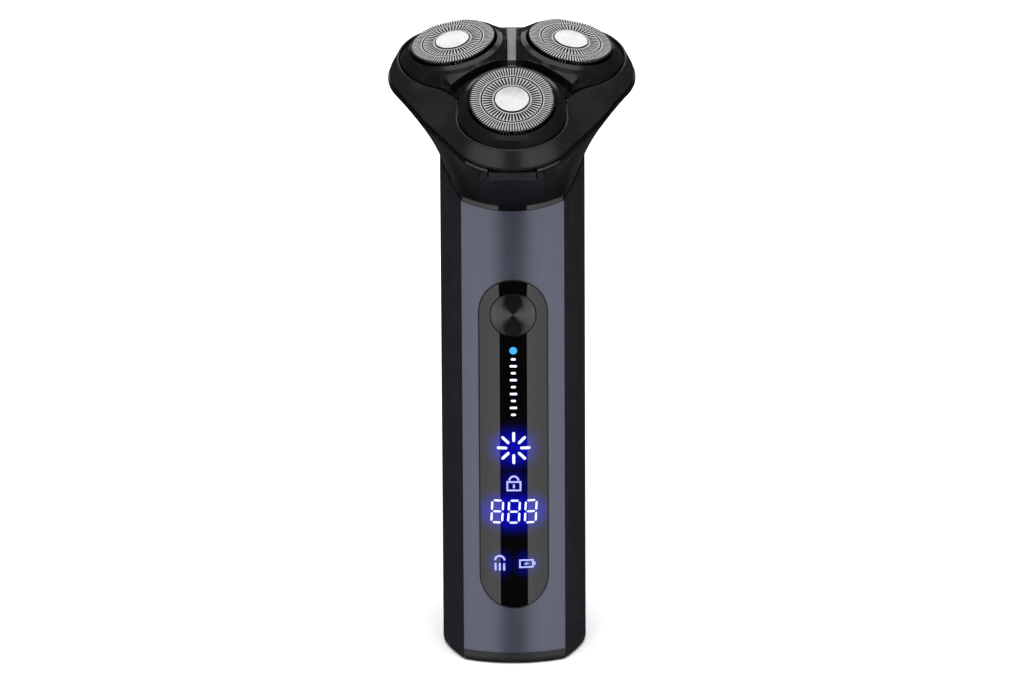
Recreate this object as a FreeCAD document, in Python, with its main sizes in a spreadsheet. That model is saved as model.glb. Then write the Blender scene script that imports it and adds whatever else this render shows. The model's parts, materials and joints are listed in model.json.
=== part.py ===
import FreeCAD, Part
import math
import os
import Sketcher
from FreeCAD import Placement, Rotation, Vector

# Three-headed rotary electric shaver, standing on its base. Millimetres. +Z is up, the front faces -Y,
# and the origin is on the flat base under the middle of the handle.

os.makedirs("parts", exist_ok=True)
doc = FreeCAD.newDocument("electric_shaver")
sheet = doc.addObject("Spreadsheet::Sheet", "sizes")

DRIVING_SIZES = {
    # handle
    "panel_half_width": 13.0,
    "panel_corner_depth": 15.0,
    "panel_front_depth": 18.3,
    "side_half_width": 18.2,
    "back_depth": 18.0,
    "wall": 1.8,
    "base_band": 3.2,
    "base_rounding": 1.6,
    "shoulder_height": 121.3,
    "shoulder_slope": 29.5,
    "ring_height": 1.3,
    "seam": 0.12,
    # display window and power button
    "lens_radius": 8.55,
    "lens_bottom": 15.5,
    "lens_top": 103.0,
    "lens_thickness": 1.2,
    "gasket_width": 0.35,
    "button_radius": 5.7,
    "button_height": 93.9,
    "button_gap": 0.25,
    # shaving head
    "head_forward": 6.0,
    "head_height": 157.6,
    "head_slope": 19.5,
    "cutter_offset": 17.3,
    "cutter_slope": 12.0,
    "rim_level": 10.5,
    "opening_level": 5.6,
    "rim_lobe_offset": 17.6,
    "rim_lobe_radius": 16.2,
    "opening_lobe_offset": 17.3,
    "opening_lobe_radius": 13.7,
    "opening_waist": 17.0,
    "head_gap": 0.3,
    "channel_half_width": 1.1,
    # cutters
    "cap_radius": 10.84,
    "cap_height": 4.0,
    "cap_wall": 0.5,
    "disc_radius": 4.2,
    "inner_slots": 50,
    "outer_slots": 90,
    "blade_radius": 10.0,
    "blade_teeth": 15,
    "hub_radius": 3.2,
    # drive
    "gear_module": 0.4,
    "pinion_teeth": 30,
    "gear_teeth": 52,
    "gear_thickness": 2.0,
    "gear_level": 14.8,
    "spindle_radius": 1.3,
    "motor_radius": 7.8,
    "motor_length": 22.0,
    "motor_level": 16.4,
    "cell_radius": 7.0,
    "cell_length": 50.0,
}

for row, (alias, number) in enumerate(DRIVING_SIZES.items(), start=1):
    sheet.set(f"A{row}", alias)
    sheet.set(f"B{row}", str(number))
    sheet.setAlias(f"B{row}", alias)
doc.recompute()

LOBE_ANGLES = {"front": 270.0, "left": 150.0, "right": 30.0}
nodes = []


def size(alias):
    """A driving size, read from the sheet."""
    return float(getattr(sheet, alias))


def bind(thing, **expressions):
    """Bind properties to sheet formulas; a double underscore stands for a dot."""
    for name, formula in expressions.items():
        thing.setExpression(name.replace("__", "."), formula)
    return thing


def finish(thing, label, placement=None):
    """Name a finished sub-part and put it in its place."""
    thing.Label = label
    if placement is not None:
        thing.Placement = placement
    nodes.append(thing)
    return thing


def primitive(kind, name, place=(0, 0, 0), turn=None, **expressions):
    """A Part primitive whose sizes are sheet formulas."""
    thing = doc.addObject(f"Part::{kind}", name)
    thing.Placement = Placement(Vector(*place), turn or Rotation())
    return bind(thing, **expressions)


def cut(name, base, tool):
    """The Part::Cut of two objects."""
    result = doc.addObject("Part::Cut", name)
    result.Base = base
    result.Tool = tool
    return result


def common(name, *pieces):
    """The common volume of several objects."""
    result = doc.addObject("Part::MultiCommon", name)
    result.Shapes = list(pieces)
    return result


def fuse(name, *pieces):
    """Several objects joined into one solid or one group of solids."""
    result = doc.addObject("Part::MultiFuse", name)
    result.Shapes = list(pieces)
    return result


def feature(name, shape):
    """A free-form shape that neither a sketch nor a primitive makes."""
    result = doc.addObject("Part::Feature", name)
    result.Shape = shape
    return result


def origin_plane(body, role):
    """One of a body's own origin planes."""
    for plane in body.Origin.OriginFeatures:
        if plane.Role == role:
            return plane
    raise ValueError(role)


def draw(sketch, start, *steps):
    """Draw a closed outline: each step is a corner, or a point on an arc and the arc's end."""
    here = Vector(*start, 0)
    for step in steps:
        if len(step) == 2 and isinstance(step[0], tuple):
            via = Vector(*step[0], 0)
            there = Vector(*step[1], 0)
            sketch.addGeometry(Part.Arc(here, via, there))
        else:
            there = Vector(*step, 0)
            sketch.addGeometry(Part.LineSegment(here, there))
        here = there
    count = sketch.GeometryCount
    for index in range(count):
        following = (index + 1) % count
        own = sketch.Geometry[index]
        other = sketch.Geometry[following]
        ends = closest_ends(own, other)
        sketch.addConstraint(Sketcher.Constraint("Coincident", index, ends[0], following, ends[1]))


def closest_ends(own, other):
    """Which end of one edge meets which end of the next: 1 is a start, 2 is an end."""
    pairs = [(a, b) for a in (1, 2) for b in (1, 2)]
    points = {
        1: lambda edge: edge.StartPoint,
        2: lambda edge: edge.EndPoint,
    }
    return min(pairs, key=lambda pair: points[pair[0]](own).distanceToPoint(points[pair[1]](other)))


def prism(name, level, length, start, *steps, plane="XY_Plane"):
    """A PartDesign body: a closed outline on an origin plane, raised to a level and padded."""
    body = doc.addObject("PartDesign::Body", name)
    sketch = body.newObject("Sketcher::SketchObject", name + "_outline")
    sketch.AttachmentSupport = [(origin_plane(body, plane), "")]
    sketch.MapMode = "FlatFace"
    sketch.setExpression("AttachmentOffset.Base.z", level)
    draw(sketch, start, *steps)
    pad = body.newObject("PartDesign::Pad", name + "_pad")
    pad.Profile = sketch
    pad.setExpression("Length", length)
    return body


def round_plate(name, level, length, radius, hole=None):
    """A PartDesign body: a disc or ring between two levels."""
    body = doc.addObject("PartDesign::Body", name)
    sketch = body.newObject("Sketcher::SketchObject", name + "_circles")
    sketch.AttachmentSupport = [(origin_plane(body, "XY_Plane"), "")]
    sketch.MapMode = "FlatFace"
    sketch.setExpression("AttachmentOffset.Base.z", level)
    for index, formula in enumerate(filter(None, (radius, hole))):
        sketch.addGeometry(Part.Circle(Vector(0, 0, 0), Vector(0, 0, 1), 8.0 - 4.0 * index))
        sketch.addConstraint(Sketcher.Constraint("Coincident", index, 3, -1, 1))
        sketch.addConstraint(Sketcher.Constraint("Radius", index, 8.0 - 4.0 * index))
        sketch.setExpression(f"Constraints[{2 * index + 1}]", formula)
    pad = body.newObject("PartDesign::Pad", name + "_pad")
    pad.Profile = sketch
    pad.setExpression("Length", length)
    return body


def turned(name, start, *steps):
    """A PartDesign body: a profile in the XZ plane, turned round the Z axis."""
    body = doc.addObject("PartDesign::Body", name)
    sketch = body.newObject("Sketcher::SketchObject", name + "_profile")
    sketch.AttachmentSupport = [(origin_plane(body, "XZ_Plane"), "")]
    sketch.MapMode = "FlatFace"
    draw(sketch, start, *steps)
    revolution = body.newObject("PartDesign::Revolution", name + "_turn")
    revolution.Profile = sketch
    revolution.ReferenceAxis = (sketch, ["V_Axis"])
    revolution.Angle = 360.0
    return body


# ---------------------------------------------------------------- handle outline

def handle_outline(inset=0.0):
    """The handle's plan: a shallow front arc between two sharp edges, side facets and a round back."""
    corner = (size("panel_half_width") - 0.55 * inset, -size("panel_corner_depth") + 0.85 * inset)
    side = (size("side_half_width") - inset, -2.0)
    hip = (0.9 * side[0], 9.0 - 0.5 * inset)
    rear = (0.6 * side[0], size("back_depth") - 2.7 - inset)
    front = -size("panel_front_depth") + inset
    back = size("back_depth") - inset
    bulge = (0.5 * (corner[0] + side[0]) + 0.5, 0.5 * (corner[1] + side[1]))
    return (
        (-corner[0], corner[1]),
        ((0.0, front), corner),
        (bulge, side),
        (hip, rear),
        ((0.0, back), (-rear[0], rear[1])),
        ((-hip[0], hip[1]), (-side[0], side[1])),
        ((-bulge[0], bulge[1]), (-corner[0], corner[1])),
    )


def outline_wire(inset, level):
    """The handle's outline as a wire at a level."""
    corners = handle_outline(inset)
    edges = []
    here = Vector(*corners[0], level)
    for via, there in corners[1:]:
        edges.append(Part.Arc(here, Vector(*via, level), Vector(*there, level)).toShape())
        here = Vector(*there, level)
    return Part.Wire(edges)


def obround(radius, low, high):
    """A slot outline in the XZ plane with its round ends on the middle line."""
    bottom = low + radius
    top = high - radius
    return (
        (-radius, bottom),
        ((0.0, low), (radius, bottom)),
        (radius, top),
        ((0.0, high), (-radius, top)),
        (-radius, bottom),
    )


BODY_TOP = 140.0
outer_block = prism("outer_block", "sizes.base_band", str(BODY_TOP), *handle_outline())
inner_block = prism("inner_block", "sizes.base_band", str(BODY_TOP), *handle_outline(size("wall")))
skin_block = prism("skin_block", "sizes.base_band", str(BODY_TOP), *handle_outline(size("lens_thickness")))


def above_shoulder(name, lift):
    """A block whose underside is the sloping shoulder plane, lifted by an amount."""
    slope = Rotation(Vector(1, 0, 0), size("shoulder_slope"))
    anchor = Vector(0, -size("panel_front_depth"), size("shoulder_height") + lift)
    block = primitive("Box", name, Length="100", Width="100", Height="100")
    block.Placement = Placement(anchor, slope).multiply(Placement(Vector(-50, -30, 0), Rotation()))
    return block


def below_shoulder(name, solid, lift=0.0):
    """A solid trimmed by the shoulder plane."""
    return cut(name, solid, above_shoulder(name + "_trim", lift))


handle_tube = cut("handle_tube", outer_block, inner_block)
handle_shell = below_shoulder("handle_shell", handle_tube)

# ---------------------------------------------------------------- front panel, back shell and base

front_zone = primitive(
    "Box", "front_zone", (-size("panel_half_width"), -30, 0),
    Length="2 * sizes.panel_half_width", Width="30 - sizes.panel_corner_depth + 2.2", Height="200",
)
rear_zone = primitive(
    "Box", "rear_zone", (-size("panel_half_width") - size("seam"), -30, 0),
    Length="2 * (sizes.panel_half_width + sizes.seam)", Width="30 - sizes.panel_corner_depth + 2.3",
    Height="200",
)
window_hole = prism(
    "window_hole", "0", "40",
    *obround(size("lens_radius") + size("gasket_width"),
             size("lens_bottom") - size("gasket_width"), size("lens_top") + size("gasket_width")),
    plane="XZ_Plane",
)
window_block = prism(
    "window_block", "0", "40",
    *obround(size("lens_radius"), size("lens_bottom"), size("lens_top")), plane="XZ_Plane",
)
button_hole = primitive(
    "Cylinder", "button_hole", (0, 0, size("button_height")), Rotation(Vector(1, 0, 0), 90),
    Radius="sizes.button_radius + sizes.button_gap", Height="40",
)

front_slice = common("front_slice", handle_shell, front_zone)
finish(cut("front_panel_cut", front_slice, window_hole), "front_panel")
finish(cut("rear_cover_cut", handle_shell, rear_zone), "rear_cover")

rounding = size("base_rounding")
sections = []
for step in range(5):
    turn = math.radians(22.5 * step)
    sections.append(outline_wire(rounding * (1 - math.sin(turn)), rounding * (1 - math.cos(turn))))
base_foot = Part.makeLoft(sections, True, True)
base_band = Part.Face(outline_wire(0.0, rounding)).extrude(Vector(0, 0, size("base_band") - rounding))
base_block = feature("base_block", base_foot.fuse(base_band).removeSplitter())
SOCKET_DEPTH_Y = 8.0
inlet_slot = primitive(
    "Box", "inlet_slot", (-4.6, SOCKET_DEPTH_Y - 1.75, -1), Length="9.2", Width="3.5", Height="12",
)
finish(cut("bottom_cap_cut", base_block, inlet_slot), "bottom_cap")

# ---------------------------------------------------------------- window, its seal and the button

skin = cut("skin", outer_block, skin_block)
lens_slab = common("lens_slab", skin, window_block)
finish(cut("display_lens_cut", lens_slab, button_hole), "display_lens")

gasket_slab = common("gasket_slab", handle_tube, window_hole)
finish(cut("lens_gasket_cut", gasket_slab, window_block), "lens_gasket")

BUTTON_BACK = -15.0
SWITCH_FRONT = -14.0
BOARD_FRONT = -13.6
button_block = primitive(
    "Cylinder", "button_block", (0, BUTTON_BACK, size("button_height")), Rotation(Vector(1, 0, 0), 90),
    Radius="sizes.button_radius", Height="10",
)
button_dish = primitive(
    "Sphere", "button_dish", (0, -78.05, size("button_height")), Radius="60",
)
button_disc = cut("button_disc", common("button_front", outer_block, button_block), button_dish)
finish(button_disc, "power_button")

# ---------------------------------------------------------------- inside the handle

PLATE_Y = -15.8


def slab(name, label, x_half, y_low, y_size, z_low, z_high):
    """A flat board standing in the XZ plane."""
    board = prism(
        name, str(-y_low - y_size), str(y_size),
        (-x_half, z_low), (x_half, z_low), (x_half, z_high), (-x_half, z_high), (-x_half, z_low),
        plane="XZ_Plane",
    )
    return finish(board, label)


slab("light_guide_plate", "light_guide", 7.4, PLATE_Y, 1.0, 22.0, 78.0)
slab("display_board_plate", "display_board", 8.5, BOARD_FRONT, 1.0, 16.0, 106.0)
slab("main_board_plate", "main_board", 10.5, -7.0, 1.2, 14.0, 108.0)
slab("chassis_plate", "chassis", 13.2, -4.8, 1.6, 8.0, 112.0)

switch_base = primitive("Box", "switch_base", (-2.2, SWITCH_FRONT, size("button_height") - 2.2),
                        Length="4.4", Width=str(BOARD_FRONT - SWITCH_FRONT), Height="4.4")
finish(switch_base, "tactile_switch")

CELL_BOTTOM = 44.0
CELL_Y = 5.2
cell = round_plate("cell_can", "0", "sizes.cell_length", "sizes.cell_radius")
finish(cell, "battery_cell", Placement(Vector(0, CELL_Y, CELL_BOTTOM), Rotation()))
tab_low = primitive("Box", "tab_low", (-2.5, CELL_Y - 6.5, CELL_BOTTOM - 0.3),
                    Length="5", Width="10", Height="0.3")
tab_high = primitive("Box", "tab_high", (-2.5, CELL_Y - 6.5, CELL_BOTTOM + size("cell_length")),
                     Length="5", Width="10", Height="0.3")
finish(fuse("tab_pair", tab_low, tab_high), "battery_tabs")

# ---------------------------------------------------------------- charging inlet in the base

socket_body = primitive("Box", "socket_body", (-5.6, SOCKET_DEPTH_Y - 2.75, size("base_band")),
                        Length="11.2", Width="5.5", Height="9")
socket_bore = primitive("Box", "socket_bore", (-4.6, SOCKET_DEPTH_Y - 1.75, size("base_band") - 1),
                        Length="9.2", Width="3.5", Height="8.5")
finish(cut("socket_cut", socket_body, socket_bore), "charging_socket")
tongue = primitive("Box", "tongue_plate", (-3.4, SOCKET_DEPTH_Y - 0.35, 4.2),
                   Length="6.8", Width="0.7", Height="6.5")
finish(tongue, "socket_tongue")

# ---------------------------------------------------------------- head frame and free-form outlines

HEAD = Placement(
    Vector(0, -size("head_forward"), size("head_height")),
    Rotation(Vector(1, 0, 0), size("head_slope")),
)


def around_head(angle, offset, level=0.0):
    """A place in the head's own frame: turned round its axis, then moved out and up."""
    turn = Placement(Vector(0, 0, 0), Rotation(Vector(0, 0, 1), angle))
    return HEAD.multiply(turn).multiply(Placement(Vector(offset, 0, level), Rotation()))


def cutter_place(angle):
    """The frame of a cutter: its Z axis leans outward from the head's axis."""
    lean = Placement(Vector(0, 0, 0), Rotation(Vector(0, 1, 0), size("cutter_slope")))
    return around_head(angle, size("cutter_offset")).multiply(lean)


def from_lobe(degrees):
    """The angle from the nearest of the three lobes, in radians, from 0 to 60 degrees."""
    turned_by = (degrees - 30.0) % 120.0
    return math.radians(min(turned_by, 120.0 - turned_by))


def rim_reach(degrees, inset=0.0):
    """Distance from the head's axis to its outer rim: three round lobes joined by nearly flat sides."""
    angle = from_lobe(degrees)
    offset = size("rim_lobe_offset")
    radius = size("rim_lobe_radius") - inset
    side = 0.5 * offset + radius
    lobe_end = math.atan2(radius * math.sin(math.pi / 3), offset + 0.5 * radius)
    if angle < lobe_end:
        return offset * math.cos(angle) + math.sqrt(radius ** 2 - (offset * math.sin(angle)) ** 2)
    bulge = 0.6 * math.sin(0.5 * math.pi * (angle - lobe_end) / (math.pi / 3 - lobe_end)) ** 2
    return side / math.cos(math.pi / 3 - angle) + bulge


def waist_fillet(lobe_radius, waist):
    """Radius of the hollow curve that joins two lobes at the given waist."""
    offset = size("opening_lobe_offset")
    top = offset ** 2 + waist ** 2 - offset * waist - lobe_radius ** 2
    return top / (2 * lobe_radius - 2 * waist + offset)


def opening_reach(degrees, inset=0.0):
    """Distance from the head's axis to the edge of the opening: three lobes joined by hollow curves."""
    angle = from_lobe(degrees)
    offset = size("opening_lobe_offset")
    lobe = size("opening_lobe_radius")
    waist = size("opening_waist")
    hollow = waist_fillet(lobe, waist)
    centre = waist + hollow
    share = lobe / (lobe + hollow)
    meet_x = offset + share * (centre * math.cos(math.pi / 3) - offset)
    meet_y = share * centre * math.sin(math.pi / 3)
    lobe -= inset
    hollow += inset
    if angle < math.atan2(meet_y, meet_x):
        return offset * math.cos(angle) + math.sqrt(lobe ** 2 - (offset * math.sin(angle)) ** 2)
    beside = math.pi / 3 - angle
    return centre * math.cos(beside) - math.sqrt(hollow ** 2 - (centre * math.sin(beside)) ** 2)


OUTLINE_STEPS = 72


def smooth_points(reach, level, inset=0.0):
    """Points round the head's axis, at a level in the head's own frame."""
    points = []
    for step in range(OUTLINE_STEPS):
        degrees = 360.0 * step / OUTLINE_STEPS
        distance = reach(degrees, inset)
        angle = math.radians(degrees)
        points.append(Vector(distance * math.cos(angle), distance * math.sin(angle), level))
    return points


def through(points):
    """A closed smooth curve through points."""
    curve = Part.BSplineCurve()
    curve.interpolate(points, PeriodicFlag=True)
    return Part.Wire(curve.toShape())


def smooth_wire(reach, level, inset=0.0):
    """A closed smooth outline round the head's axis."""
    return through(smooth_points(reach, level, inset))


def smooth_prism(reach, low, high, inset=0.0):
    """A straight block under a smooth outline, between two levels of the head's frame."""
    face = Part.Face(smooth_wire(reach, low, inset))
    return face.extrude(Vector(0, 0, high - low))


def smooth_loft(*wires):
    """A solid through smooth outlines, straight from each to the next."""
    return Part.makeLoft(list(wires), True, True)


# ---------------------------------------------------------------- neck

def shoulder_points(inset=0.0, lift=0.0):
    """Points of the handle's outline on the sloping shoulder plane."""
    outline = outline_wire(inset, 0.0)
    slope = math.tan(math.radians(size("shoulder_slope")))
    points = []
    for step in range(OUTLINE_STEPS):
        angle = 2 * math.pi * step / OUTLINE_STEPS
        ray = Part.LineSegment(Vector(0, 0, 0), Vector(60 * math.cos(angle), 60 * math.sin(angle), 0))
        crossing = outline.distToShape(ray.toShape())[1][0][0]
        height = size("shoulder_height") + slope * (crossing.y + size("panel_front_depth"))
        points.append(Vector(crossing.x, crossing.y, height + lift))
    return points


def shoulder_wire(inset=0.0, lift=0.0):
    """The handle's outline on the sloping shoulder plane."""
    return through(shoulder_points(inset, lift))


def waist_points(low, high, share, squeeze):
    """Points between two outlines, drawn in towards their middle."""
    points = []
    for below, above in zip(low, high):
        point = below + (above - below) * share
        outward = Vector(point.x, point.y + 0.5 * size("head_forward"), 0).normalize()
        points.append(point - outward * squeeze)
    return points


NECK_SQUEEZE = 0.7
NECK_LIP = 0.9
RIM_BEVEL_TALL = 0.55
RIM_BEVEL_DEEP = 0.25
NECK_WALL = 1.2


def smooth_wire_in_head(level, inset):
    """The head's rim outline at a level of the tilted head, placed in the shaver's frame."""
    return through([HEAD.multVec(point) for point in smooth_points(rim_reach, level, inset)])


def neck_solid(inset, bottom_lift, top_level):
    """The flared neck between the shoulder and the head's rim, hollow-sided, made smaller by an inset."""
    shoulder = shoulder_points(inset, bottom_lift)
    edge = smooth_wire_in_head(-top_level - RIM_BEVEL_TALL, inset)
    rim = smooth_wire_in_head(-top_level, inset + RIM_BEVEL_DEEP)
    lip = [HEAD.multVec(point) for point in smooth_points(rim_reach, -top_level - NECK_LIP, inset)]
    waists = [waist_points(shoulder, lip, share, NECK_SQUEEZE * math.sin(math.pi * share))
              for share in (0.25, 0.5, 0.75)]
    flare = Part.makeLoft([through(points) for points in (shoulder, *waists, lip)], True, False)
    return flare.fuse(smooth_loft(through(lip), edge, rim))


RING = size("ring_height")
neck_outer = neck_solid(0.0, RING, size("rim_level") + size("head_gap"))
neck_inner = neck_solid(NECK_WALL, RING - 0.01, size("rim_level") + size("head_gap") - 0.01)
neck_wall = neck_outer.cut(neck_inner)

TAB_HALF_WIDTH = 5.95
TAB_LEVEL = 14.3
TAB_TALL = 2.5
TAB_FRONT = 32.4
TAB_DEEP = 3.0
notch = Part.makeBox(2 * TAB_HALF_WIDTH + 0.6, 14, TAB_LEVEL - 8,
                     Vector(-TAB_HALF_WIDTH - 0.3, -40, -TAB_LEVEL - 0.3))
notch.Placement = HEAD
neck_feature = feature("neck_form", neck_wall.cut(notch))
finish(neck_feature, "neck_shell")

# The trim ring is a thin bright band on the shoulder plane, under the neck.
ring_outer = smooth_loft(shoulder_wire(0.15, 0.02), shoulder_wire(0.15, RING))
ring_inner = smooth_loft(shoulder_wire(2.2, 0.01), shoulder_wire(2.2, RING + 0.01))
finish(feature("trim_ring_form", ring_outer.cut(ring_inner)), "trim_ring")
gasket_outer = smooth_loft(shoulder_wire(2.3, 0.1), shoulder_wire(2.3, RING + 0.4))
gasket_inner = smooth_loft(shoulder_wire(3.3, 0.05), shoulder_wire(3.3, RING + 0.5))
finish(feature("neck_gasket_form", gasket_outer.cut(gasket_inner)), "neck_gasket")

# ---------------------------------------------------------------- hinge and head shell

HINGE_V = 26.4
HINGE_LEVEL = size("rim_level") + 0.15
KNUCKLE_RADIUS = 1.8
PIN_RADIUS = 0.8
HEAD_KNUCKLE = 5.0
NECK_KNUCKLE = 9.0
KNUCKLE_GAP = 0.3


def cross_bar(radius, low, high):
    """A round bar on the hinge's axis between two X positions, in the head's frame."""
    return Part.makeCylinder(radius, high - low, Vector(low, HINGE_V, -HINGE_LEVEL), Vector(1, 0, 0))


def lug(low, high, down, up):
    """A block that joins a hinge knuckle to the wall in front of it."""
    return Part.makeBox(high - low, 3.0, up + down, Vector(low, HINGE_V - 3.0, -HINGE_LEVEL - down))


LIP = 0.5
OPENING_ROUND = 0.4
head_outer = smooth_loft(
    smooth_wire(rim_reach, -size("rim_level"), LIP),
    smooth_wire(rim_reach, -size("rim_level") + 0.7, LIP),
    smooth_wire(opening_reach, -size("opening_level"), -0.45),
)
opening_block = smooth_prism(opening_reach, -size("rim_level") - 1, -size("opening_level") + 1)
head_ring = head_outer.cut(opening_block)
for side in (-1, 1):
    near, far = sorted((side * (HEAD_KNUCKLE + 0.1), side * (NECK_KNUCKLE + KNUCKLE_GAP)))
    head_ring = head_ring.cut(cross_bar(KNUCKLE_RADIUS + 0.4, near, far))
head_ring = head_ring.fuse(cross_bar(KNUCKLE_RADIUS, -HEAD_KNUCKLE, HEAD_KNUCKLE))
head_ring = head_ring.fuse(lug(-HEAD_KNUCKLE, HEAD_KNUCKLE, 0.0, 2.0))
head_ring = head_ring.cut(cross_bar(PIN_RADIUS + 0.05, -20, 20))
head_ring = head_ring.cut(opening_block)
opening_edges = [edge for edge in head_ring.Edges
                 if abs(edge.BoundBox.ZMin + size("opening_level")) < 0.05
                 and abs(edge.BoundBox.ZMax + size("opening_level")) < 0.05]
head_ring = head_ring.makeFillet(OPENING_ROUND, [max(opening_edges, key=lambda edge: edge.Length)])
finish(feature("head_shell_form", head_ring), "head_shell", HEAD)

neck_local = neck_feature.Shape.copy()
neck_local.transformShape(HEAD.inverse().toMatrix())
neck_local = neck_local.cut(cross_bar(KNUCKLE_RADIUS + 0.4, -HEAD_KNUCKLE - KNUCKLE_GAP,
                                      HEAD_KNUCKLE + KNUCKLE_GAP))
for side in (-1, 1):
    near, far = sorted((side * (HEAD_KNUCKLE + KNUCKLE_GAP), side * NECK_KNUCKLE))
    neck_local = neck_local.fuse(cross_bar(KNUCKLE_RADIUS, near, far))
    neck_local = neck_local.fuse(lug(near, far, 3.0, -KNUCKLE_GAP))
neck_local = neck_local.cut(cross_bar(PIN_RADIUS, -20, 20))
neck_feature.Shape = neck_local
neck_feature.Placement = HEAD
finish(feature("hinge_pin_form", cross_bar(PIN_RADIUS, -NECK_KNUCKLE, NECK_KNUCKLE)), "hinge_pin", HEAD)

PLATE_TOP = 9.6
PLATE_THICKNESS = 0.8
PORT_RADIUS = 7.0
retaining = smooth_prism(opening_reach, -PLATE_TOP - PLATE_THICKNESS, -PLATE_TOP)
for angle in LOBE_ANGLES.values():
    reach = size("opening_lobe_offset")
    port = Part.makeCylinder(
        PORT_RADIUS, 4,
        Vector(reach * math.cos(math.radians(angle)), reach * math.sin(math.radians(angle)), -12),
    )
    retaining = retaining.cut(port)
finish(feature("retaining_plate_form", retaining), "retaining_plate", HEAD)

STRIP_TOP = 2.0
STRIP_START = 2.6
ARM_TOP = 7.6


def strip_arm(angle, start, top):
    """One arm of the strip between the holders, from the retaining plate up to a level."""
    arm = Part.makeBox(size("opening_waist") - 0.3 - start, 2 * size("channel_half_width"), PLATE_TOP - top,
                       Vector(start, -size("channel_half_width"), -PLATE_TOP))
    arm.rotate(Vector(0, 0, 0), Vector(0, 0, 1), angle)
    return arm


strip = strip_arm(90, STRIP_START, STRIP_TOP)
for angle in (90, 210, 330):
    strip = strip.fuse(strip_arm(angle, 0, ARM_TOP))
bead = Part.makePolygon([Vector(1.7 * math.cos(math.radians(a)), 1.7 * math.sin(math.radians(a)), -8.6)
                         for a in (150, 270, 390, 510)])
strip = strip.removeSplitter().cut(Part.Face(bead).extrude(Vector(0, 0, 9)))
finish(feature("spider_strip_form", strip), "spider_strip", HEAD)

# ---------------------------------------------------------------- cutter holders, caps and blades

POD_LOW = 8.0
LEDGE = 3.2
DISC_CROWN = 0.42
DISC_BALL = 47.0


def sector(angle):
    """The third of the head that one holder may fill, inside the strip's arms."""
    clear = size("channel_half_width") + size("head_gap")
    apex = clear / math.sin(math.pi / 3)
    middle = math.radians(angle)
    tip = Vector(apex * math.cos(middle), apex * math.sin(middle), -POD_LOW)
    corners = [tip]
    for side in (-1, 1):
        along = middle + side * math.pi / 3
        corners.append(tip + Vector(60 * math.cos(along), 60 * math.sin(along), 0))
    return Part.Face(Part.makePolygon(corners + [tip])).extrude(Vector(0, 0, 14))


def turned_solid(*outline):
    """A solid turned round the Z axis from points given as (radius, height)."""
    corners = [Vector(radius, 0, height) for radius, height in outline]
    face = Part.Face(Part.makePolygon(corners + [corners[0]]))
    return face.revolve(Vector(0, 0, 0), Vector(0, 0, 1), 360)


def pod_form(angle):
    """A floating holder: a third of the opening, domed round its cutter and bored for the cap."""
    place = HEAD.inverse().multiply(cutter_place(angle))
    dome = turned_solid(
        (11.15, -1.15), (11.45, -0.95), (11.75, -1.1), (12.6, -1.6), (13.4, -2.4), (15.0, -3.7),
        (17.3, -5.2), (19.5, -6.6), (19.5, -16.0), (12.0, -16.0), (12.0, -LEDGE), (11.15, -LEDGE),
    )
    dome.Placement = place
    block = smooth_prism(opening_reach, -POD_LOW, 6.0, size("head_gap"))
    return block.common(sector(angle)).common(dome)


def slot_tools(count, low, high, width, bottom):
    """Radial slot cutters, evenly spaced round the cap."""
    tools = []
    for index in range(count):
        tool = Part.makeBox(high - low, width, 0.6 - bottom, Vector(low, -0.5 * width, bottom))
        tool.rotate(Vector(0, 0, 0), Vector(0, 0, 1), 360.0 * index / count)
        tools.append(tool)
    return Part.makeCompound(tools)


def cap_form():
    """The slotted steel cap: a thin cup with two rings of slots and a groove between them."""
    radius = size("cap_radius")
    wall = size("cap_wall")
    height = size("cap_height")
    disc = size("disc_radius") + 0.05
    cup = turned_solid(
        (0.0, 0.0), (disc, 0.0), (disc + 0.05, -0.25), (disc + 0.35, -0.25), (disc + 0.4, 0.0),
        (7.5, 0.0), (7.55, -0.3), (7.85, -0.3), (7.9, 0.0), (radius - 0.55, 0.0),
        (radius - 0.15, -0.15), (radius, -0.6), (radius, -height + 0.7), (11.9, -height + 0.7),
        (11.9, -height), (radius - wall, -height), (radius - wall, -wall), (0.0, -wall),
    )
    inner = slot_tools(int(size("inner_slots")), 4.95, 7.35, 0.46, -0.9)
    outer = slot_tools(int(size("outer_slots")), 8.15, radius + 0.5, 0.36, -1.5)
    return cup.cut(inner).cut(outer)


def blade_form():
    """The cutter: a thin disc with a ring of leaning teeth."""
    disc = Part.makeCylinder(size("blade_radius"), 0.6, Vector(0, 0, -2.6))
    count = int(size("blade_teeth"))
    for index in range(count):
        tooth = Part.makeBox(4.8, 0.5, 1.3, Vector(5.0, -0.25, -2.15))
        tooth.rotate(Vector(5.0, 0, -2.0), Vector(1, 0, 0), 15)
        tooth.rotate(Vector(0, 0, 0), Vector(0, 0, 1), 360.0 * index / count)
        disc = disc.fuse(tooth)
    return disc


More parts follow.
